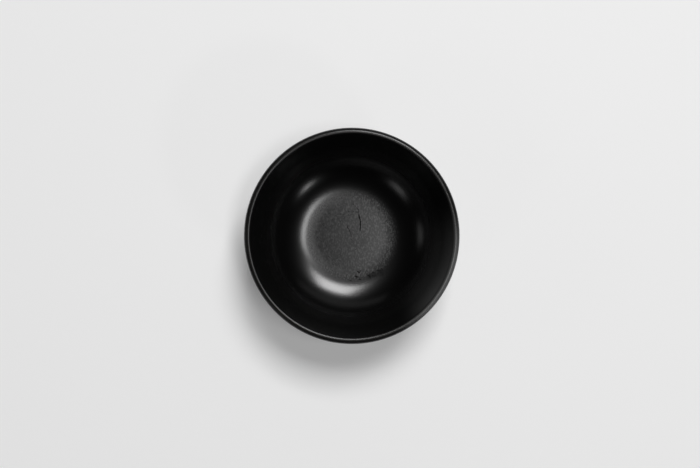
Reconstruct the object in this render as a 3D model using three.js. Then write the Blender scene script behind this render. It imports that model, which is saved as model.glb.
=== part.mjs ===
// Round serving bowl in satin black stoneware: a clay body with a bare foot ring, under three
// fired-on glaze coats. Millimetres, +Z up, origin on the table at the centre of the foot ring.
// Every outline lies in the (radius, height) half-plane and is turned about +Z.
import * as THREE from 'three';

// Finished bowl, measured over the glaze
const rimDiameter = 150;
const bowlHeight = 60;
const lipOuterRound = 3; // from the lip's crest to its widest line
const lipInnerRound = 1.7; // from the crest to the inside wall
const wallLean = 15.4; // degrees from upright, inside wall
const floorRadius = 24; // flat part of the floor inside
const dishRadius = 105; // shallow sweep of the floor around its flat part
const dishAngle = 4.5; // degrees, slope where the dish passes into the cove
const baseThickness = 6; // floor inside to the ceiling of the foot recess
const bellyThickness = 5.6; // wall where it sweeps into the floor

// Foot ring
const footOuterRadius = 35; // where the foot meets the table, before its edge is rounded
const footWidth = 5;
const footDraft = 6; // degrees, both sides
const footFillet = 2; // foot to belly, outside
const footEdgeRound = 0.8; // sponged edges of the bare ring
const recessDepth = 5.5;
const recessFillet = 1.8;

// Glaze
const glazeThickness = 0.45;
const bondGap = 0.05; // clearance between a coat and what it lies on or meets
const glazeStop = 1.6; // bare clay left above the table on both sides of the foot

// Facets
const turnSegments = 56;
const sweepStep = 12; // degrees, the most that one facet of the cove or belly turns
const roundStep = 24; // the same for the small rounds and fillets

// Finishes
const bareClay = { color: 0xa08d78, roughness: 0.85, metalness: 0 };
const satinBlack = { color: 0x0c0c0d, roughness: 0.28, metalness: 0 };
const matteBlack = { color: 0x101011, roughness: 0.5, metalness: 0 };

const degrees = THREE.MathUtils.degToRad;
const clayInset = glazeThickness + bondGap; // from the glazed surface down to the clay
const up = degrees(90);

// Places worked out from the sizes above
const crestRadius = rimDiameter / 2 - lipOuterRound;
const floorHeight = recessDepth + baseThickness;
const lean = degrees(wallLean);
const draft = degrees(footDraft);
const lipInner = new THREE.Vector2(crestRadius, bowlHeight - lipInnerRound);
const lipOuter = new THREE.Vector2(crestRadius, bowlHeight - lipOuterRound);

// The flat floor runs on as a shallow dish. The inside wall is tangent to the lip, and the cove's
// radius is the one that touches both the dish's end and the wall.
const dishEnd = degrees(dishAngle);
const dish = new THREE.Vector2(floorRadius, floorHeight + dishRadius);
const dishToEnd = new THREE.Vector2(Math.sin(dishEnd), -Math.cos(dishEnd));
const wallNormal = new THREE.Vector2(Math.cos(lean), -Math.sin(lean));
const wallReach = wallNormal.dot(lipInner) - lipInnerRound;
const endShare = wallNormal.dot(dishToEnd);
const coveRadius = (wallReach - wallNormal.dot(dish) - dishRadius * endShare) / (1 - endShare);
const cove = dishToEnd.clone().multiplyScalar(dishRadius - coveRadius).add(dish);

// The belly outside shares the cove's centre, and the outside wall is tangent to belly and lip.
const bellyRadius = coveRadius + bellyThickness;
const coveToLip = lipOuter.clone().sub(cove);
const coveToLipAngle = Math.atan2(coveToLip.y, coveToLip.x);
const outerWallAngle = coveToLipAngle - Math.acos((bellyRadius - lipOuterRound) / coveToLip.length());

// Sides of the foot lean in towards the table. Each fillet's centre keeps its distance to the two
// faces that it joins.
const footInnerRadius = footOuterRadius - footWidth;
const footReach = footOuterRadius * Math.cos(draft);
const filletToCove = bellyRadius + footFillet;
const filletOffset = footReach + footFillet - cove.x * Math.cos(draft) + cove.y * Math.sin(draft);
const filletAngle = -draft - Math.acos(filletOffset / filletToCove);
const fillet = new THREE.Vector2(Math.cos(filletAngle), Math.sin(filletAngle))
  .multiplyScalar(filletToCove)
  .add(cove);
const recessCornerHeight = recessDepth - recessFillet;
const recessCorner = new THREE.Vector2(
  footInnerRadius - (recessFillet + recessCornerHeight * Math.sin(draft)) / Math.cos(draft),
  recessCornerHeight,
);

function arc(centre, radius, from, to, facetStep) {
  const steps = Math.ceil(Math.abs(to - from) / degrees(facetStep));
  const points = [];
  for (let i = 0; i <= steps; i += 1) {
    const angle = from + ((to - from) * i) / steps;
    points.push(new THREE.Vector2(Math.cos(angle), Math.sin(angle)).multiplyScalar(radius).add(centre));
  }
  return points;
}

// Radius of the foot's outer or inner side at a height, sunk by inset
function footOuterAt(height, inset) {
  return footOuterRadius + height * Math.tan(draft) - inset / Math.cos(draft);
}

function footInnerAt(height, inset) {
  return footInnerRadius - height * Math.tan(draft) + inset / Math.cos(draft);
}

// Floor centre to the lip's crest, sunk below the glazed surface by inset
function insideOutline(inset) {
  return [
    new THREE.Vector2(0, floorHeight - inset),
    ...arc(dish, dishRadius + inset, -up, dishEnd - up, sweepStep),
    ...arc(cove, coveRadius + inset, dishEnd - up, -lean, sweepStep).slice(1),
    ...arc(lipInner, lipInnerRound - inset, Math.PI - lean, up, roundStep),
  ];
}

// From a start angle on the lip, over the belly, to the end of the fillet above the foot
function outsideOutline(inset, lipStart) {
  return [
    ...arc(lipOuter, lipOuterRound - inset, lipStart, 0, roundStep),
    ...arc(lipOuter, lipOuterRound - inset, 0, outerWallAngle, roundStep).slice(1),
    ...arc(cove, bellyRadius - inset, outerWallAngle, filletAngle, sweepStep),
    ...arc(fillet, footFillet + inset, filletAngle + Math.PI, Math.PI - draft, roundStep),
  ];
}

// Fillet inside the foot ring to the centre of the recess ceiling
function recessOutline(inset) {
  return [
    ...arc(recessCorner, recessFillet + inset, draft, up, roundStep),
    new THREE.Vector2(0, recessDepth + inset),
  ];
}

// Bare foot of the clay body, from its outer side round to its inner side
function footOutline() {
  const edgeShift = (1 - Math.sin(draft)) / Math.cos(draft);
  const outerEdge = new THREE.Vector2(
    footOuterAt(0, clayInset) - footEdgeRound * edgeShift,
    footEdgeRound,
  );
  const innerEdge = new THREE.Vector2(
    footInnerAt(0, clayInset) + footEdgeRound * edgeShift,
    footEdgeRound,
  );
  return [
    ...arc(outerEdge, footEdgeRound, -draft, -up, roundStep),
    ...arc(innerEdge, footEdgeRound, -up, draft - Math.PI, roundStep),
  ];
}

function closed(outline) {
  return [...outline, outline[0].clone()];
}

// The outlines run clockwise, and a lathe's faces point outwards when its profile runs the other way.
function turned(name, outline, finish) {
  const geometry = new THREE.LatheGeometry(outline.reverse(), turnSegments);
  geometry.rotateX(up);
  const mesh = new THREE.Mesh(geometry, new THREE.MeshStandardMaterial(finish));
  mesh.name = name;
  return mesh;
}

function clayBody() {
  const outline = [
    ...insideOutline(clayInset),
    ...outsideOutline(clayInset, up).slice(1),
    ...footOutline(),
    ...recessOutline(clayInset),
  ];
  return turned('clay_body', outline, bareClay);
}

function insideGlaze() {
  const outline = [
    ...insideOutline(0),
    ...insideOutline(glazeThickness).reverse(),
  ];
  return turned('inside_glaze', outline, satinBlack);
}

function outsideGlaze() {
  const seamAngle = Math.asin(bondGap / (lipOuterRound - glazeThickness));
  const outline = [
    ...outsideOutline(0, up - seamAngle),
    new THREE.Vector2(footOuterAt(glazeStop, 0), glazeStop),
    new THREE.Vector2(footOuterAt(glazeStop, glazeThickness), glazeStop),
    ...outsideOutline(glazeThickness, up - seamAngle).reverse(),
  ];
  return turned('outside_glaze', closed(outline), matteBlack);
}

function baseGlaze() {
  const outline = [
    new THREE.Vector2(footInnerAt(glazeStop, 0), glazeStop),
    ...recessOutline(0),
    ...recessOutline(glazeThickness).reverse(),
    new THREE.Vector2(footInnerAt(glazeStop, glazeThickness), glazeStop),
  ];
  return turned('base_glaze', closed(outline), matteBlack);
}

const bowl = new THREE.Group();
bowl.add(clayBody(), insideGlaze(), outsideGlaze(), baseGlaze());

export default bowl;
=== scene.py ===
import math

import bmesh
import bpy
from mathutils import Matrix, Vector


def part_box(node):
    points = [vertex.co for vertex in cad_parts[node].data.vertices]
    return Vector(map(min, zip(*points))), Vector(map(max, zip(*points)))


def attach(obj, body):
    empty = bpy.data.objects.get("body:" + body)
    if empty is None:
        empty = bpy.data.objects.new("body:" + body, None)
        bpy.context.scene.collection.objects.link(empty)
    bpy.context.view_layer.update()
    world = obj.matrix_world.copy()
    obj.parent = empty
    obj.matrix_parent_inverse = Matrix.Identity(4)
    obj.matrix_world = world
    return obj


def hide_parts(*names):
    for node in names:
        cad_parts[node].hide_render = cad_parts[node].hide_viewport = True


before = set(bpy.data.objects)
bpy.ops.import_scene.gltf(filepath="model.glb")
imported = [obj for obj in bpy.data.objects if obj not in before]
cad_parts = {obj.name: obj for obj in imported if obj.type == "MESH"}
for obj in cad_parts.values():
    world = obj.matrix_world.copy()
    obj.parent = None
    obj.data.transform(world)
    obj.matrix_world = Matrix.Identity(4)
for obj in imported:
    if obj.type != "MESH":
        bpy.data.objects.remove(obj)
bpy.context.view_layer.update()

mm = 0.001
upright = math.pi / 2

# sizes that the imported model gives, in mm
insideLow, insideHigh = (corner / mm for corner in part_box("inside_glaze"))
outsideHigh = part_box("outside_glaze")[1] / mm
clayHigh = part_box("clay_body")[1] / mm
rimRadius = outsideHigh.x
crestRadius = insideHigh.x
lipHeight = insideHigh.z
coatDepth = lipHeight - clayHigh.z  # glazed surface down to the clay


# form of the bowl, mm and degrees

bowlForm = {
    "lipInnerRound": 1.7,
    "wallLean": 15.4,
    "floorRadius": 24,      # flat part
    "dishRadius": 105,      # shallow sweep around the flat part
    "dishAngle": 4.5,       # slope where the dish passes into the cove
    "bellyThickness": 5.6,
    "glazeThickness": 0.45,
    "seamRound": 0.1,       # edges of the two coats where they meet on the crest
    "ovality": 0.14,        # kiln warp at the lip, narrower along X
    "floorCrown": 0.1,      # low rise of the floor's centre
    "crownEdge": (10, 28),  # radii between which the crown falls away
    "creaseAngle": 50,      # steeper edges are shaded sharp
}

footForm = {
    "outerRadius": 35,
    "width": 5,
    "draft": 6,
    "fillet": 2,
    "edgeRound": 0.8,
    "recessDepth": 5.5,
    "recessFillet": 1.8,
    "glazeStop": 1.6,       # bare clay above the table
}

# facets round the bowl and along each stretch of the outlines
formSteps = {
    "turn": 288,
    "floor": 20,
    "dish": 10,
    "cove": 60,
    "wall": 20,
    "lipInside": 18,
    "lipOutside": 24,
    "belly": 54,
    "footFillet": 14,
    "footEdge": 8,
    "footFlat": 4,
    "recessFillet": 12,
    "recess": 12,
    "seam": 5,
    "roll": 8,
}

glaze = bowlForm["glazeThickness"]
lipInnerRound = bowlForm["lipInnerRound"]
lipOuterRound = rimRadius - crestRadius
lean = math.radians(bowlForm["wallLean"])
draft = math.radians(footForm["draft"])
floorRadius = bowlForm["floorRadius"]
floorHeight = insideLow.z + glaze
lipInner = Vector((crestRadius, lipHeight - lipInnerRound))
lipOuter = Vector((crestRadius, lipHeight - lipOuterRound))

# inside wall tangent to the lip, cove tangent to the wall and to the end of the dish
dishRadius = bowlForm["dishRadius"]
dishEnd = math.radians(bowlForm["dishAngle"])
dish = Vector((floorRadius, floorHeight + dishRadius))
dishToEnd = Vector((math.sin(dishEnd), -math.cos(dishEnd)))
wallNormal = Vector((math.cos(lean), -math.sin(lean)))
wallReach = wallNormal.dot(lipInner) - lipInnerRound
endShare = wallNormal.dot(dishToEnd)
coveRadius = (wallReach - wallNormal.dot(dish) - dishRadius * endShare) / (1 - endShare)
cove = dish + (dishRadius - coveRadius) * dishToEnd

# belly shares the cove's centre, outside wall tangent to belly and lip
bellyRadius = coveRadius + bowlForm["bellyThickness"]
coveToLip = lipOuter - cove
coveToLipAngle = math.atan2(coveToLip.y, coveToLip.x)
outerWallAngle = coveToLipAngle - math.acos((bellyRadius - lipOuterRound) / coveToLip.length)

# fillets of the foot
footOuter = footForm["outerRadius"]
footInner = footOuter - footForm["width"]
footFillet = footForm["fillet"]
filletReach = (footOuter - cove.x) * math.cos(draft) + footFillet + cove.y * math.sin(draft)
filletAngle = -draft - math.acos(filletReach / (bellyRadius + footFillet))
fillet = cove + (bellyRadius + footFillet) * Vector((math.cos(filletAngle), math.sin(filletAngle)))
recessDepth = footForm["recessDepth"]
recessFillet = footForm["recessFillet"]
recessCornerHeight = recessDepth - recessFillet
recessCorner = Vector((
    footInner - (recessFillet + recessCornerHeight * math.sin(draft)) / math.cos(draft),
    recessCornerHeight,
))


def arc(centre, radius, start, end, steps):
    points = []
    for i in range(steps + 1):
        angle = start + (end - start) * i / steps
        points.append(centre + radius * Vector((math.cos(angle), math.sin(angle))))
    return points


def line(start, end, steps):
    # only the points between the two ends
    return [start.lerp(end, i / steps) for i in range(1, steps)]


def footOuterAt(height, inset):
    return Vector((footOuter + height * math.tan(draft) - inset / math.cos(draft), height))


def footInnerAt(height, inset):
    return Vector((footInner - height * math.tan(draft) + inset / math.cos(draft), height))


def crowned(point):
    start, end = bowlForm["crownEdge"]
    fall = min(max((point.x - start) / (end - start), 0), 1)
    return point + Vector((0, bowlForm["floorCrown"] * (1 - fall * fall * (3 - 2 * fall))))


def insideOutline(inset, lipEnd):
    # floor centre to the lip, sunk by inset below the glazed surface
    centre = Vector((0, floorHeight - inset))
    dishSweep = arc(dish, dishRadius + inset, -upright, dishEnd - upright, formSteps["dish"])
    coveSweep = arc(cove, coveRadius + inset, dishEnd - upright, -lean, formSteps["cove"])
    lip = arc(lipInner, lipInnerRound - inset, math.pi - lean, lipEnd, formSteps["lipInside"])
    floor = [centre] + line(centre, dishSweep[0], formSteps["floor"]) + dishSweep + coveSweep[1:]
    wall = line(coveSweep[-1], lip[0], formSteps["wall"])
    return [crowned(point) for point in floor] + wall + lip


def outsideOutline(inset, lipStart):
    # lip over the belly to the fillet above the foot
    lip = arc(lipOuter, lipOuterRound - inset, lipStart, outerWallAngle, formSteps["lipOutside"])
    belly = arc(cove, bellyRadius - inset, outerWallAngle, filletAngle, formSteps["belly"])
    wall = line(lip[-1], belly[0], formSteps["wall"])
    footStart = filletAngle + math.pi
    footSweep = arc(fillet, footFillet + inset, footStart, math.pi - draft, formSteps["footFillet"])
    return lip + wall + belly[:-1] + footSweep


def recessOutline(inset):
    # fillet inside the foot ring to the centre of the recess
    sweep = arc(recessCorner, recessFillet + inset, draft, upright, formSteps["recessFillet"])
    centre = Vector((0, recessDepth + inset))
    return sweep + line(sweep[-1], centre, formSteps["recess"]) + [centre]


def footOutline():
    # bare foot ring, from its outer side round to its inner side
    edge = footForm["edgeRound"]
    shift = edge * (1 - math.sin(draft)) / math.cos(draft)
    outerEdge = Vector((footOuterAt(0, coatDepth).x - shift, edge))
    innerEdge = Vector((footInnerAt(0, coatDepth).x + shift, edge))
    outerRound = arc(outerEdge, edge, -draft, -upright, formSteps["footEdge"])
    innerRound = arc(innerEdge, edge, -upright, draft - math.pi, formSteps["footEdge"])
    return outerRound + line(outerRound[-1], innerRound[0], formSteps["footFlat"]) + innerRound


def warp(radius, height, turn):
    # the slight ovality that a kiln leaves, none at the foot
    share = (height / lipHeight) ** 2 * radius / rimRadius
    return radius - bowlForm["ovality"] * share * (math.cos(2 * turn) + 1)


axisGap = 1e-6  # mm, a point this near to the axis lies on it


def revolve(name, outline):
    turnSteps = formSteps["turn"]
    form = bmesh.new()
    rings = []
    for point in outline:
        height = point.y * mm
        if point.x < axisGap:
            rings.append([form.verts.new((0, 0, height))])
            continue
        ring = []
        for i in range(turnSteps):
            turn = 2 * math.pi * i / turnSteps
            radius = warp(point.x, point.y, turn) * mm
            ring.append(form.verts.new((radius * math.cos(turn), radius * math.sin(turn), height)))
        rings.append(ring)
    for ring, after in zip(rings, rings[1:] + rings[:1]):
        if len(ring) + len(after) == 2:
            continue  # two points on the axis
        for i in range(turnSteps):
            j = (i + 1) % turnSteps
            here = [ring[i % len(ring)], after[i % len(after)]]
            there = [after[j % len(after)], ring[j % len(ring)]]
            form.faces.new(list(dict.fromkeys(here + there)))  # three corners at the axis
    bmesh.ops.recalc_face_normals(form, faces=form.faces)
    mesh = bpy.data.meshes.new(name)
    form.to_mesh(mesh)
    form.free()
    mesh.polygons.foreach_set("use_smooth", [True] * len(mesh.polygons))
    mesh.set_sharp_from_angle(angle=math.radians(bowlForm["creaseAngle"]))
    piece = bpy.data.objects.new(name, mesh)
    bpy.context.scene.collection.objects.link(piece)
    return piece


# node helpers

noiseMiddle = 0.5  # the value that noise swings about


def addNode(tree, kind, inputs=None, **settings):
    made = tree.nodes.new(kind)
    for name, value in settings.items():
        setattr(made, name, value)
    for name, value in (inputs or {}).items():
        if isinstance(value, bpy.types.NodeSocket):
            tree.links.new(value, made.inputs[name])
        else:
            made.inputs[name].default_value = value
    return made


def maths(tree, operation, first, second=0.0, third=0.0):
    values = {0: first, 1: second, 2: third}
    return addNode(tree, "ShaderNodeMath", values, operation=operation).outputs[0]


def vectorMaths(tree, operation, first, second=(0, 0, 0)):
    made = addNode(tree, "ShaderNodeVectorMath", {0: first, 1: second}, operation=operation)
    return made.outputs["Value" if operation in ("DOT_PRODUCT", "LENGTH") else "Vector"]


def inPlan(tree, position):
    return vectorMaths(tree, "MULTIPLY", position, (1, 1, 0))


def separate(tree, position):
    return addNode(tree, "ShaderNodeSeparateXYZ", {"Vector": position}).outputs


def remap(tree, value, low, high, toLow=0.0, toHigh=1.0):
    inputs = {"Value": value, "From Min": low, "From Max": high, "To Min": toLow, "To Max": toHigh}
    made = addNode(tree, "ShaderNodeMapRange", inputs, interpolation_type="SMOOTHSTEP")
    return made.outputs["Result"]


def fade(tree, value, low, high):
    return remap(tree, value, low, high, 1.0, 0.0)


def mixValues(tree, factor, first, second):
    values = {0: factor, 2: first, 3: second}
    return addNode(tree, "ShaderNodeMix", values, data_type="FLOAT").outputs[0]


def mixColours(tree, factor, first, second):
    colours = {0: factor, 6: first, 7: second}
    return addNode(tree, "ShaderNodeMix", colours, data_type="RGBA").outputs[2]


def highest(tree, masks):
    top = masks[0]
    for mask in masks[1:]:
        top = maths(tree, "MAXIMUM", top, mask)
    return top


def inverse(tree, size):
    if isinstance(size, bpy.types.NodeSocket):
        return maths(tree, "DIVIDE", 1.0, size)
    return 1 / size


def noise(tree, position, size, detail=2.0, roughness=0.5):
    scale = inverse(tree, size)
    inputs = {"Vector": position, "Scale": scale, "Detail": detail, "Roughness": roughness}
    return addNode(tree, "ShaderNodeTexNoise", inputs).outputs[0]


def linkBump(tree, shader, height, depth):
    bump = addNode(tree, "ShaderNodeBump", {"Strength": 1.0, "Distance": depth, "Height": height})
    tree.links.new(bump.outputs["Normal"], shader.inputs["Normal"])


def newGroup(name, inputs, outputs):
    tree = bpy.data.node_groups.new(name, "ShaderNodeTree")
    for socketName, value in {"Position": (0, 0, 0), **inputs}.items():
        kind = "NodeSocketVector" if isinstance(value, tuple) else "NodeSocketFloat"
        socket = tree.interface.new_socket(socketName, in_out="INPUT", socket_type=kind)
        socket.default_value = value
    for socketName in outputs:
        tree.interface.new_socket(socketName, in_out="OUTPUT", socket_type="NodeSocketFloat")
    given = tree.nodes.new("NodeGroupInput").outputs
    result = tree.nodes.new("NodeGroupOutput").inputs
    return tree, given, result


def place(tree, group, position, values):
    inputs = {"Position": position, **values}
    return addNode(tree, "ShaderNodeGroup", inputs, node_tree=group).outputs


def plain(name):
    material = bpy.data.materials.new(name)
    material.use_nodes = True
    tree = material.node_tree
    shader = tree.nodes["Principled BSDF"]
    position = addNode(tree, "ShaderNodeTexCoord").outputs["Object"]
    return material, tree, shader, position


def grey(value):
    return (value, value, value, 1)


# shared effects

def makeGrain():
    # fine uneven skin of a fired coat: a grain, a softer orange peel and slow mottling
    values = {"Grain Size": 0.5 * mm, "Peel Size": 1.6 * mm, "Peel Share": 0.5}
    tree, given, result = newGroup("firedGrain", values, ["Height", "Mottle"])
    mottleSize = 12 * mm
    position = given["Position"]
    grain = noise(tree, position, given["Grain Size"])
    peel = noise(tree, position, given["Peel Size"], detail=1.0)
    mottle = noise(tree, position, mottleSize, detail=3.0, roughness=0.6)
    tree.links.new(mixValues(tree, given["Peel Share"], grain, peel), result["Height"])
    tree.links.new(mottle, result["Mottle"])
    return tree


def makePinholes():
    # sparse tiny pits that burst bubbles leave in glaze and clay
    values = {"Spacing": 6 * mm, "Pit Radius": 0.2 * mm, "Share": 0.3}
    tree, given, result = newGroup("pinholes", values, ["Mask"])
    pitEdge = (0.4, 1.0)  # soft edge, in pit radii
    inputs = {"Vector": given["Position"], "Scale": inverse(tree, given["Spacing"])}
    cells = addNode(tree, "ShaderNodeTexVoronoi", inputs).outputs
    distance = maths(tree, "MULTIPLY", cells["Distance"], given["Spacing"])
    pit = fade(tree, maths(tree, "DIVIDE", distance, given["Pit Radius"]), *pitEdge)
    pick = addNode(tree, "ShaderNodeSeparateColor", {"Color": cells["Color"]}).outputs["Red"]
    chosen = maths(tree, "LESS_THAN", pick, given["Share"])
    tree.links.new(maths(tree, "MULTIPLY", pit, chosen), result["Mask"])
    return tree


def makeHairlines():
    # faint hair scratches along one direction, broken into short runs
    values = {"Turn": 0.0, "Spacing": 4 * mm, "Length": 30 * mm, "Share": 0.02}
    tree, given, result = newGroup("hairlines", values, ["Mask"])
    hairEdge = (0.2, 1.0)
    runSize = 9 * mm
    runEdge = (0.52, 0.62)
    position = given["Position"]
    inputs = {"Vector": position, "Angle": given["Turn"]}
    turned = addNode(tree, "ShaderNodeVectorRotate", inputs, rotation_type="Z_AXIS").outputs[0]
    across = inverse(tree, given["Spacing"])
    along = inverse(tree, given["Length"])
    stretch = addNode(tree, "ShaderNodeCombineXYZ", {"X": across, "Y": along, "Z": along}).outputs[0]
    field = noise(tree, vectorMaths(tree, "MULTIPLY", turned, stretch), 1.0, detail=1.0)
    offset = maths(tree, "ABSOLUTE", maths(tree, "SUBTRACT", field, noiseMiddle))
    fine = fade(tree, maths(tree, "DIVIDE", offset, given["Share"]), *hairEdge)
    broken = remap(tree, noise(tree, position, runSize), *runEdge)
    tree.links.new(maths(tree, "MULTIPLY", fine, broken), result["Mask"])
    return tree


def makeScuffLine():
    # one scuff from a start to an end, bowed sideways, in plan
    values = {
        "Start": (0, 0, 0),
        "End": (0, 10 * mm, 0),
        "Bow": 0.0,
        "Width": 0.4 * mm,
        "Broken": 0.0,
    }
    tree, given, result = newGroup("scuffLine", values, ["Mask"])
    wobbleSize = 3 * mm
    wobbleWidth = 1.2 * mm
    strokeEdge = (0.3, 1.0)     # soft edge, in widths
    startTaper = (-0.02, 0.12)  # shares of the length
    endTaper = (0.8, 1.02)
    patchSize = 1.1 * mm
    patchEdge = (0.46, 0.56)
    position = given["Position"]

    # place along the run, and distance beside it
    run = vectorMaths(tree, "SUBTRACT", given["End"], given["Start"])
    away = vectorMaths(tree, "SUBTRACT", inPlan(tree, position), given["Start"])
    length = vectorMaths(tree, "LENGTH", run)
    lengthSquared = maths(tree, "MULTIPLY", length, length)
    share = maths(tree, "DIVIDE", vectorMaths(tree, "DOT_PRODUCT", away, run), lengthSquared)
    side = vectorMaths(tree, "CROSS_PRODUCT", run, (0, 0, 1))
    offset = maths(tree, "DIVIDE", vectorMaths(tree, "DOT_PRODUCT", away, side), length)

    # a parabola bows it, none at the ends, and slow noise makes it wander
    rest = maths(tree, "SUBTRACT", 1.0, share)
    arch = maths(tree, "MULTIPLY", maths(tree, "MULTIPLY", share, 4.0), rest)
    sideways = maths(tree, "MULTIPLY", given["Bow"], -1.0)
    bowed = maths(tree, "MULTIPLY_ADD", arch, sideways, offset)
    wobble = maths(tree, "SUBTRACT", noise(tree, position, wobbleSize), noiseMiddle)
    shaken = maths(tree, "MULTIPLY_ADD", wobble, wobbleWidth, bowed)

    edge = maths(tree, "DIVIDE", maths(tree, "ABSOLUTE", shaken), given["Width"])
    stroke = fade(tree, edge, *strokeEdge)
    taper = maths(tree, "MULTIPLY", remap(tree, share, *startTaper), fade(tree, share, *endTaper))
    patches = remap(tree, noise(tree, position, patchSize), *patchEdge)
    left = mixValues(tree, given["Broken"], 1.0, patches)
    whole = maths(tree, "MULTIPLY", stroke, taper)
    tree.links.new(maths(tree, "MULTIPLY", whole, left), result["Mask"])
    return tree


def makePaintedLitSide():
    # painted light: one side of the wall paler, more so towards the lip, standing in for light that
    # falls there
    values = {"Bearing": 0.0, "Bottom": 10 * mm, "Top": 60 * mm}
    tree, given, result = newGroup("paintedLitSide", values, ["Mask"])
    sideEdge = (0.7, 1.0)  # cosine of the angle off the bearing
    sidePower = 2.0
    risePower = 1.6
    position = given["Position"]
    towards = addNode(tree, "ShaderNodeCombineXYZ", {
        "X": maths(tree, "COSINE", given["Bearing"]),
        "Y": maths(tree, "SINE", given["Bearing"]),
    }).outputs[0]
    outwards = vectorMaths(tree, "NORMALIZE", inPlan(tree, position))
    facing = vectorMaths(tree, "DOT_PRODUCT", outwards, towards)
    side = maths(tree, "POWER", remap(tree, facing, *sideEdge), sidePower)
    span = maths(tree, "SUBTRACT", given["Top"], given["Bottom"])
    above = maths(tree, "SUBTRACT", separate(tree, position)["Z"], given["Bottom"])
    share = maths(tree, "MAXIMUM", maths(tree, "DIVIDE", above, span), 0.0)
    rise = maths(tree, "POWER", share, risePower)
    tree.links.new(maths(tree, "MULTIPLY", side, rise), result["Mask"])
    return tree


grainGroup = makeGrain()
pinholeGroup = makePinholes()
hairlineGroup = makeHairlines()
scuffGroup = makeScuffLine()
litSideGroup = makePaintedLitSide()
print("shared effects ready")


# what both coats share

glazeIndex = 1.5  # refractive index

# painted light: a paler lit side of the inner wall and of the outside of the lip
paintedLitSide = {
    "colour": grey(0.1),
    "bearing": -19,             # degrees
    "bottom": 20,               # mm above the table
    "lipFadeDepth": (2.5, 0.6),   # mm below the crest, where the painted light fades
    "lipRoundShare": 0.32,              # how much of the painted light is left on the inner round of the lip
    "lipBearing": -25,          # outside of the lip
    "lipDepth": 4,              # mm that it reaches down there
}


def belowLip(depth):
    return (lipHeight - depth) * mm


def litSideMask(tree, position, bearing, bottom):
    return place(tree, litSideGroup, position, {
        "Bearing": math.radians(bearing),
        "Bottom": bottom * mm,
        "Top": lipHeight * mm,
    })["Mask"]


# satin coat inside

insideLook = {
    "colour": grey(0.0012),
    "pooled": grey(0.0018),
    "worn": (0.03, 0.028, 0.026, 1),    # thin coat over the crest of the lip
    "crestDepth": 0.25,                 # mm
    "crestShare": 0.3,
    "paintedSheen": grey(0.004),              # painted sheen: the floor paler, partly wear
    "floorZoneEdge": ((floorRadius + 3) * mm, (floorRadius + 13) * mm),    # radii where it fades out
    "markHeight": (14 * mm, 24 * mm),   # use marks fade out up the cove
    "fleck": grey(0.033),               # fine pale flecks on the floor, partly wear and partly painted reflection
    "fleckEdge": (0.45, 0.66),
    "fleckRoughness": 0.12,
    "paintedSlope": (0.5, 1.17),                # painted reflection: flecks and paler floor brighter from left to right
    "paintedSlopeSpan": (-20 * mm, 25 * mm),
    "streakSize": (0.9 * mm, 2 * mm),   # wipe marks in the flecks, longer along Y
    "streakShare": 0.5,
    "floorRoughness": 0.275,            # the floor is worn dull
    "coveEdge": (28 * mm, 36 * mm),     # radii where the cove takes over
    "coveRoughness": 0.226,
    "wallEdge": (21 * mm, 33 * mm),     # heights where the wall takes over
    "wallRoughness": 0.36,              # the steep wall is duller too
    "burnished": 0.12,                  # use marks are polished, so they look darker
    "hairs": [(0.35, 0.006), (-0.9, 0.005)],    # hair scratches: turn in radians, share
    "hairSize": {"Spacing": 12 * mm, "Length": 60 * mm},
    "hairStrength": 0.25,
    "grain": {"Grain Size": 0.5 * mm, "Peel Size": 1.1 * mm, "Peel Share": 0.65},
    "pinholes": {"Spacing": 9 * mm, "Pit Radius": 0.22 * mm, "Share": 0.25},
    "pinholeDepth": 1.2,                # times the bump depth
    "markFlatness": 0.7,                # how far use marks flatten the grain, and to which level
    "markLevel": 0.45,
    "bumpDepth": 0.02 * mm,
}

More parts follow.
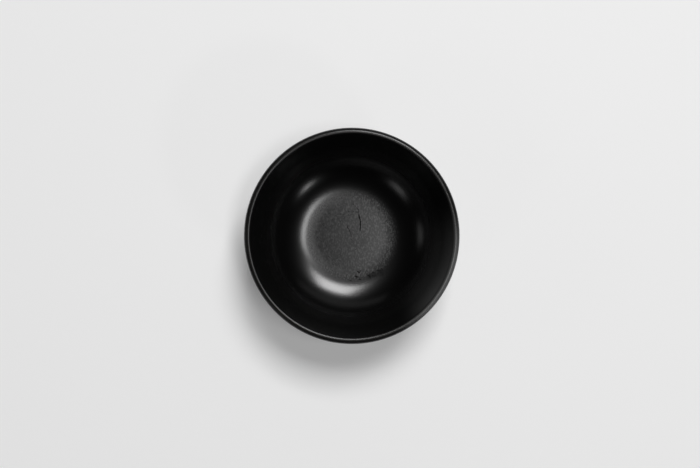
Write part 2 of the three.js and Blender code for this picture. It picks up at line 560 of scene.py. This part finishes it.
# use marks on the floor, plan points in mm from the centre: start, end, bow, width, broken, strength
floorScuffs = [
    # long bent scratch
    ((1.5, 24.3), (5.6, 19.5), 0.0, 0.42, 0.4, 0.4),
    ((4.8, 20.4), (6.0, 19.3), 0.0, 0.75, 0.0, 0.7),
    ((5.6, 19.5), (6.0, 15.6), 0.0, 0.4, 0.4, 0.4),
    ((5.8, 16.3), (7.2, 11.2), 0.0, 0.6, 0.0, 1.0),
    ((7.2, 11.8), (7.0, 3.7), 0.1, 0.62, 0.0, 1.0),
    # fainter ones beside it
    ((3.2, 18.2), (6.4, 17.6), 0.0, 0.5, 0.2, 0.5),
    ((-2.8, 18.0), (3.2, 18.3), 0.1, 0.42, 0.7, 0.5),
    ((-2.6, 15.5), (1.4, 15.9), 0.0, 0.42, 0.7, 0.4),
    ((-10.4, 16.2), (-4.3, 16.2), 0.1, 0.4, 0.5, 0.3),
    ((-2.9, 7.9), (-0.2, 2.5), 0.1, 0.52, 0.3, 0.6),
    ((-0.3, 2.9), (0.3, -1.6), 0.0, 0.45, 0.3, 0.7),
    ((0.3, -1.3), (1.3, -5.6), 0.0, 0.36, 0.6, 0.5),
    # specks near the edge of the floor
    ((5.1, -25.6), (6.3, -27.7), 0.0, 0.75, 0.0, 0.8),
    ((6.3, -27.7), (7.3, -25.2), 0.0, 0.6, 0.2, 0.8),
    ((3.1, -29.7), (5.3, -30.4), 0.0, 0.8, 0.1, 0.8),
    ((5.9, -31.8), (7.7, -32.1), 0.0, 0.75, 0.1, 0.8),
    ((-1.0, -32.7), (0.5, -33.0), 0.0, 0.6, 0.2, 0.7),
    ((12.0, -23.9), (11.6, -26.4), 0.0, 0.5, 0.3, 0.7),
    ((12.4, -28.8), (14.6, -31.8), -0.5, 0.9, 0.1, 0.8),
    ((15.6, -27.0), (17.8, -27.1), 0.0, 0.95, 0.1, 0.7),
    ((15.3, -28.8), (18.8, -29.3), 0.3, 0.7, 0.4, 0.6),
    ((19.3, -24.9), (22.2, -26.3), 0.0, 0.8, 0.2, 0.7),
    ((22.5, -23.8), (23.6, -25.3), 0.0, 0.6, 0.3, 0.6),
    # the worn patch that the last ones lie in
    ((11.0, -29.0), (25.0, -26.0), 0.6, 3.4, 0.8, 0.4),
]


def scuffMask(tree, position):
    strokes = []
    for start, end, bow, width, broken, strength in floorScuffs:
        stroke = place(tree, scuffGroup, position, {
            "Start": (start[0] * mm, start[1] * mm, 0),
            "End": (end[0] * mm, end[1] * mm, 0),
            "Bow": bow * mm,
            "Width": width * mm,
            "Broken": broken,
        })["Mask"]
        strokes.append(maths(tree, "MULTIPLY", stroke, strength))
    return highest(tree, strokes)


def hairMask(tree, position):
    hairs = []
    for turn, share in insideLook["hairs"]:
        values = {"Turn": turn, "Share": share, **insideLook["hairSize"]}
        hairs.append(place(tree, hairlineGroup, position, values)["Mask"])
    return maths(tree, "MULTIPLY", highest(tree, hairs), insideLook["hairStrength"])


def insideMaterial():
    material, tree, shader, position = plain("satinBlackGlaze")
    look = insideLook
    skin = place(tree, grainGroup, position, look["grain"])
    axes = separate(tree, position)
    height = axes["Z"]
    radius = vectorMaths(tree, "LENGTH", inPlan(tree, position))
    low = fade(tree, height, *look["markHeight"])
    onFloor = maths(tree, "MULTIPLY", fade(tree, radius, *look["floorZoneEdge"]), low)

    # use marks: the placed scuffs and faint hair scratches, floor only
    hair = maths(tree, "MULTIPLY", hairMask(tree, position), onFloor)
    marks = maths(tree, "MAXIMUM", scuffMask(tree, position), hair)
    marks = maths(tree, "MULTIPLY", marks, low)
    unmarked = maths(tree, "SUBTRACT", 1.0, marks)

    # flecks on the floor, pale partly as painted reflection
    across, along = look["streakSize"]
    stretched = vectorMaths(tree, "MULTIPLY", position, (1 / across, 1 / along, 1 / along))
    streaks = noise(tree, stretched, 1.0, detail=1.0)
    speckle = mixValues(tree, look["streakShare"], skin["Height"], streaks)
    # painted reflection: the floor's flecks and paleness grow from left to right, as its mirrored
    # light does
    paintedSlope = remap(tree, axes["X"], *look["paintedSlopeSpan"], *look["paintedSlope"])
    shown = maths(tree, "MULTIPLY", paintedSlope, onFloor)
    flecks = maths(tree, "MULTIPLY", remap(tree, speckle, *look["fleckEdge"]), shown)

    # colour: black; on the floor paler with pale flecks, partly wear and partly painted reflection;
    # thin coat over the crest of the lip; painted light on one side of the wall
    base = mixColours(tree, skin["Mottle"], look["colour"], look["pooled"])
    # painted reflection: the floor made paler where it mirrors the lamps, partly wear
    base = mixColours(tree, maths(tree, "MULTIPLY", shown, unmarked), base, look["paintedSheen"])
    base = mixColours(tree, maths(tree, "MULTIPLY", flecks, unmarked), base, look["fleck"])
    crest = remap(tree, height, belowLip(look["crestDepth"]), belowLip(0))
    base = mixColours(tree, maths(tree, "MULTIPLY", crest, look["crestShare"]), base, look["worn"])
    # painted light on the wall's lit side, fainter on the inner round of the lip
    litSide = litSideMask(tree, position, paintedLitSide["bearing"], paintedLitSide["bottom"])
    lipFadeStart, lipFadeEnd = [belowLip(depth) for depth in paintedLitSide["lipFadeDepth"]]
    left = remap(tree, height, lipFadeStart, lipFadeEnd, 1.0, paintedLitSide["lipRoundShare"])
    base = mixColours(tree, maths(tree, "MULTIPLY", litSide, left), base, paintedLitSide["colour"])
    tree.links.new(base, shader.inputs["Base Color"])

    # roughness: satin, duller on the floor and up the wall, polished in the use marks
    satin = remap(tree, radius, *look["coveEdge"], look["floorRoughness"], look["coveRoughness"])
    satin = maths(tree, "MULTIPLY_ADD", flecks, look["fleckRoughness"], satin)
    steep = remap(tree, height, *look["wallEdge"])
    duller = mixValues(tree, steep, satin, look["wallRoughness"])
    tree.links.new(mixValues(tree, marks, duller, look["burnished"]), shader.inputs["Roughness"])

    # relief: grain and pinholes, flattened in the use marks
    pits = place(tree, pinholeGroup, position, look["pinholes"])["Mask"]
    dents = maths(tree, "MULTIPLY_ADD", pits, -look["pinholeDepth"], skin["Height"])
    flattened = maths(tree, "MULTIPLY", marks, look["markFlatness"])
    relief = mixValues(tree, flattened, dents, look["markLevel"])
    linkBump(tree, shader, relief, look["bumpDepth"])
    shader.inputs["IOR"].default_value = glazeIndex
    return material


# duller coat outside and in the foot recess

outsideLook = {
    "colour": grey(0.004),
    "pooled": grey(0.006),
    "worn": (0.035, 0.032, 0.029, 1),   # thin coat over the crest and at the glaze line
    "crestDepth": 0.3,                  # mm
    "crestShare": 0.25,
    "lineEdge": (0.15, 0.9),            # mm above the glaze line on the foot
    "lineShare": 0.8,
    "roughness": 0.4,
    "roughnessSpread": 0.03,
    "mottleEdge": (0.3, 0.7),
    "lipRoughness": 0.28,
    "lipEdge": (8, 3),                  # mm below the crest, where the lip takes over
    "gloss": 0.28,
    "hairs": {"Turn": 0.6, "Spacing": 14 * mm, "Length": 50 * mm, "Share": 0.005},
    "hairPolish": 0.06,
    "grain": {"Grain Size": 0.4 * mm, "Peel Size": 1.8 * mm, "Peel Share": 0.4},
    "pinholes": {"Spacing": 7 * mm, "Pit Radius": 0.25 * mm, "Share": 0.3},
    "pinholeDepth": 3.0,                # times the bump depth
    "bumpDepth": 0.022 * mm,
}


def outsideMaterial():
    material, tree, shader, position = plain("matteBlackGlaze")
    look = outsideLook
    skin = place(tree, grainGroup, position, look["grain"])
    height = separate(tree, position)["Z"]

    # colour: black, thinner over the lip and at the glaze line on the foot, with painted light on one
    # side of the lip
    crest = remap(tree, height, belowLip(look["crestDepth"]), belowLip(0))
    lineStart, lineEnd = [(footForm["glazeStop"] + above) * mm for above in look["lineEdge"]]
    glazeLine = fade(tree, height, lineStart, lineEnd)
    thin = highest(tree, [
        maths(tree, "MULTIPLY", crest, look["crestShare"]),
        maths(tree, "MULTIPLY", glazeLine, look["lineShare"]),
    ])
    base = mixColours(tree, skin["Mottle"], look["colour"], look["pooled"])
    base = mixColours(tree, thin, base, look["worn"])
    # painted light on the lit side of the outside of the lip
    litSide = litSideMask(tree, position, paintedLitSide["lipBearing"], lipHeight - paintedLitSide["lipDepth"])
    base = mixColours(tree, litSide, base, paintedLitSide["colour"])
    tree.links.new(base, shader.inputs["Base Color"])

    # roughness: slow mottling, smoother on the lip and in hair scratches
    smoothest = look["roughness"] - look["roughnessSpread"]
    roughest = look["roughness"] + look["roughnessSpread"]
    dull = remap(tree, skin["Mottle"], *look["mottleEdge"], smoothest, roughest)
    onLip = remap(tree, height, *[belowLip(depth) for depth in look["lipEdge"]])
    smoother = maths(tree, "MULTIPLY_ADD", onLip, look["lipRoughness"] - look["roughness"], dull)
    hair = place(tree, hairlineGroup, position, look["hairs"])["Mask"]
    haired = maths(tree, "MULTIPLY_ADD", hair, -look["hairPolish"], smoother)
    tree.links.new(haired, shader.inputs["Roughness"])

    # relief: grain and pinholes
    pits = place(tree, pinholeGroup, position, look["pinholes"])["Mask"]
    dents = maths(tree, "MULTIPLY_ADD", pits, -look["pinholeDepth"], skin["Height"])
    linkBump(tree, shader, dents, look["bumpDepth"])
    shader.inputs["IOR"].default_value = glazeIndex
    shader.inputs["Specular IOR Level"].default_value = look["gloss"]
    return material


# bare clay of the foot ring

clayLook = {
    "colour": (0.42, 0.325, 0.235, 1),
    "dark": (0.3, 0.22, 0.15, 1),
    "grog": (0.12, 0.085, 0.06, 1),         # coarse dark grains
    "rubbed": (0.2, 0.165, 0.13, 1),        # where the ring stands on tables
    "rubbedHeight": (0.05 * mm, 0.5 * mm),
    "patchSize": 6 * mm,
    "patchEdge": (0.35, 0.65),
    "patchShare": (0.2, 0.7),
    "roughness": 0.85,
    "rubbedRoughness": 0.65,
    "grain": {"Grain Size": 0.4 * mm, "Peel Size": 1.1 * mm, "Peel Share": 0.3},
    "grogGrains": {"Spacing": 1.4 * mm, "Pit Radius": 0.28 * mm, "Share": 0.35},
    "pinholes": {"Spacing": 3 * mm, "Pit Radius": 0.3 * mm, "Share": 0.3},
    "pinholeDepth": 1.5,                    # times the bump depth
    "bumpDepth": 0.06 * mm,
}


def clayMaterial():
    material, tree, shader, position = plain("bareStoneware")
    look = clayLook
    skin = place(tree, grainGroup, position, look["grain"])

    # colour: mottled clay with dark grains, greyer in patches on the standing face
    standing = fade(tree, separate(tree, position)["Z"], *look["rubbedHeight"])
    uneven = noise(tree, position, look["patchSize"])
    patches = remap(tree, uneven, *look["patchEdge"], *look["patchShare"])
    rubbed = maths(tree, "MULTIPLY", standing, patches)
    grog = place(tree, pinholeGroup, position, look["grogGrains"])["Mask"]
    base = mixColours(tree, skin["Mottle"], look["dark"], look["colour"])
    base = mixColours(tree, grog, base, look["grog"])
    base = mixColours(tree, rubbed, base, look["rubbed"])
    tree.links.new(base, shader.inputs["Base Color"])

    # roughness: smoother where it is rubbed most
    most = look["patchShare"][1]
    worn = remap(tree, rubbed, 0.0, most, look["roughness"], look["rubbedRoughness"])
    tree.links.new(worn, shader.inputs["Roughness"])

    # relief: grain and pinholes
    pits = place(tree, pinholeGroup, position, look["pinholes"])["Mask"]
    dents = maths(tree, "MULTIPLY_ADD", pits, -look["pinholeDepth"], skin["Height"])
    linkBump(tree, shader, dents, look["bumpDepth"])
    return material


satinBlack = insideMaterial()
matteBlack = outsideMaterial()
bareClay = clayMaterial()
print("materials ready")


# the four pieces

def finishPiece(piece, material, node):
    piece.data.materials.append(material)
    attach(piece, "root")
    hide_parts(node)


def makeInsideGlaze():
    seam = bowlForm["seamRound"]
    tip = math.asin(seam / (lipInnerRound - seam))
    edgeCentre = lipInner + (lipInnerRound - seam) * Vector((-math.sin(tip), math.cos(tip)))
    edge = arc(edgeCentre, seam, upright + tip, 0, formSteps["seam"])
    top = insideOutline(0, upright + tip)
    under = insideOutline(glaze, upright)
    return revolve("insideGlaze", top[:-1] + edge + under[::-1])


def makeOutsideGlaze():
    seam = bowlForm["seamRound"]
    tip = math.asin(seam / (lipOuterRound - seam))
    edgeCentre = lipOuter + (lipOuterRound - seam) * Vector((math.sin(tip), math.cos(tip)))
    edge = arc(edgeCentre, seam, math.pi, upright - tip, formSteps["seam"])
    top = outsideOutline(0, upright - tip)
    under = outsideOutline(glaze, upright)
    # the coat ends in a rolled edge on the foot
    rollCentre = footOuterAt(footForm["glazeStop"] + glaze / 2, glaze / 2)
    roll = arc(rollCentre, glaze / 2, -draft, -draft - math.pi, formSteps["roll"])
    return revolve("outsideGlaze", edge + top[1:] + roll + under[::-1])


def makeBaseGlaze():
    rollCentre = footInnerAt(footForm["glazeStop"] + glaze / 2, glaze / 2)
    roll = arc(rollCentre, glaze / 2, draft, draft - math.pi, formSteps["roll"])
    return revolve("baseGlaze", roll[::-1] + recessOutline(0) + recessOutline(glaze)[::-1])


def makeClayBody():
    inside = insideOutline(coatDepth, upright)
    outside = outsideOutline(coatDepth, upright)
    return revolve("clayBody", inside + outside[1:] + footOutline() + recessOutline(coatDepth))


finishPiece(makeClayBody(), bareClay, "clay_body")
finishPiece(makeInsideGlaze(), satinBlack, "inside_glaze")
finishPiece(makeOutsideGlaze(), matteBlack, "outside_glaze")
finishPiece(makeBaseGlaze(), matteBlack, "base_glaze")
print("pieces ready")


# stage: pale floor, sizes in metres

floorLook = {
    "colour": grey(0.742),
    "roughness": 0.7,
    "gloss": 0.2,
    "glow": 0.167,          # what cameras and mirrors see on top of the lit colour
    "farGlow": 2.5,         # times that for cameras, where the floor leaves the light
    "farEdge": (1.6, 4.2),  # where that begins and ends
    "radius": 4.0,
    "segments": 96,
}


def makeFloor():
    look = floorLook
    form = bmesh.new()
    bmesh.ops.create_circle(form, cap_ends=True, radius=look["radius"], segments=look["segments"])
    mesh = bpy.data.meshes.new("floor")
    form.to_mesh(mesh)
    form.free()
    floor = bpy.data.objects.new("floor", mesh)
    bpy.context.scene.collection.objects.link(floor)
    material, tree, shader, position = plain("paleFloor")
    shader.inputs["Base Color"].default_value = look["colour"]
    shader.inputs["Roughness"].default_value = look["roughness"]
    shader.inputs["Specular IOR Level"].default_value = look["gloss"]
    shader.inputs["Emission Strength"].default_value = look["glow"]
    ray = addNode(tree, "ShaderNodeLightPath").outputs
    mirrored = maths(tree, "MAXIMUM", ray["Is Glossy Ray"], ray["Is Transmission Ray"])
    far = remap(tree, vectorMaths(tree, "LENGTH", position), *look["farEdge"], 1.0, look["farGlow"])
    seen = maths(tree, "MAXIMUM", maths(tree, "MULTIPLY", ray["Is Camera Ray"], far), mirrored)
    tree.links.new(seen, shader.inputs["Emission Color"])
    # open to a view from below
    under = addNode(tree, "ShaderNodeNewGeometry").outputs["Backfacing"]
    tree.links.new(maths(tree, "SUBTRACT", 1.0, under), shader.inputs["Alpha"])
    mesh.materials.append(material)


makeFloor()


# lamps: bearing and zenith in degrees seen from the bowl, sizes in metres, radiance of the panel

lamps = {
    "keySoftbox": dict(bearing=70.3, zenith=30, distance=3.5, size=(1.35, 1.24), radiance=16.8),
    "topSoftbox": dict(bearing=-13.8, zenith=14.4, distance=3.75, size=(1.11, 0.62), radiance=13.2),
    "rightLamp": dict(bearing=-47.2, zenith=58.6, distance=3.75, size=(0.51, 0.27), radiance=15),
    "leftLamp": dict(bearing=-134.6, zenith=59.5, distance=3.75, size=(0.86, 0.74), radiance=1.43),
    "sideLamp": dict(bearing=-179, zenith=67.1, distance=4, size=(1.0, 0.9), radiance=0.8),
    "paleWall": dict(bearing=80, zenith=65, distance=4, size=(5.6, 1.1), radiance=0.28),
}
lampAim = Vector((0, 0, 20 * mm))


def makeLamp(name, look):
    bearing = math.radians(look["bearing"])
    zenith = math.radians(look["zenith"])
    away = Vector((
        math.sin(zenith) * math.cos(bearing),
        math.sin(zenith) * math.sin(bearing),
        math.cos(zenith),
    ))
    width, height = look["size"]
    light = bpy.data.lights.new(name, "AREA")
    light.shape = "RECTANGLE"
    light.size = width
    light.size_y = height
    light.energy = look["radiance"] * math.pi * width * height
    lamp = bpy.data.objects.new(name, light)
    lamp.location = lampAim + away * look["distance"]
    lamp.rotation_mode = "QUATERNION"
    lamp.rotation_quaternion = away.to_track_quat("Z", "Y")
    bpy.context.scene.collection.objects.link(lamp)


for lampName, lampLook in lamps.items():
    makeLamp(lampName, lampLook)


worldLook = {
    "room": grey(0.004),    # what lights the bowl and is mirrored in it
    "backdrop": grey(0.8),  # what the camera sees
}


def makeWorld():
    world = bpy.data.worlds.new("studio")
    bpy.context.scene.world = world
    world.use_nodes = True
    tree = world.node_tree
    room = tree.nodes["Background"]
    room.inputs["Color"].default_value = worldLook["room"]
    backdrop = addNode(tree, "ShaderNodeBackground", {"Color": worldLook["backdrop"]})
    seen = addNode(tree, "ShaderNodeLightPath").outputs["Is Camera Ray"]
    both = addNode(tree, "ShaderNodeMixShader", {0: seen, 1: room.outputs[0], 2: backdrop.outputs[0]})
    tree.links.new(both.outputs[0], tree.nodes["World Output"].inputs["Surface"])


makeWorld()
print("stage and light ready")


# camera straight above, as the photograph was taken

cameraLook = {
    "lens": 50,
    "sensor": 36,
    "framePixels": 700,
    "rimPixels": 216.4,             # width of the rim in the photograph
    "centrePixels": (2.0, 1.8),     # bowl's centre right of and below the picture's centre
    "stand": (-13, -3),             # where the camera stands over the bowl, mm from its axis
}


def makeCamera():
    look = cameraLook
    pixel = 2 * rimRadius * mm / look["rimPixels"]
    rise = look["framePixels"] * pixel * look["lens"] / look["sensor"]
    right, below = look["centrePixels"]
    data = bpy.data.cameras.new("overhead")
    data.lens = look["lens"]
    data.sensor_width = look["sensor"]
    camera = bpy.data.objects.new("overhead", data)
    rimPlane = (lipHeight - lipOuterRound) * mm
    target = Vector((-right * pixel, below * pixel, rimPlane))
    stand = look["stand"]
    camera.location = (stand[0] * mm, stand[1] * mm, rimPlane + rise)
    gaze = (target - camera.location).normalized()
    camera.rotation_euler = (math.asin(gaze.y), math.atan2(-gaze.x, -gaze.z), 0)
    bpy.context.scene.collection.objects.link(camera)
    bpy.context.scene.camera = camera


makeCamera()
bpy.context.scene.view_settings.view_transform = "Standard"
print("camera ready")
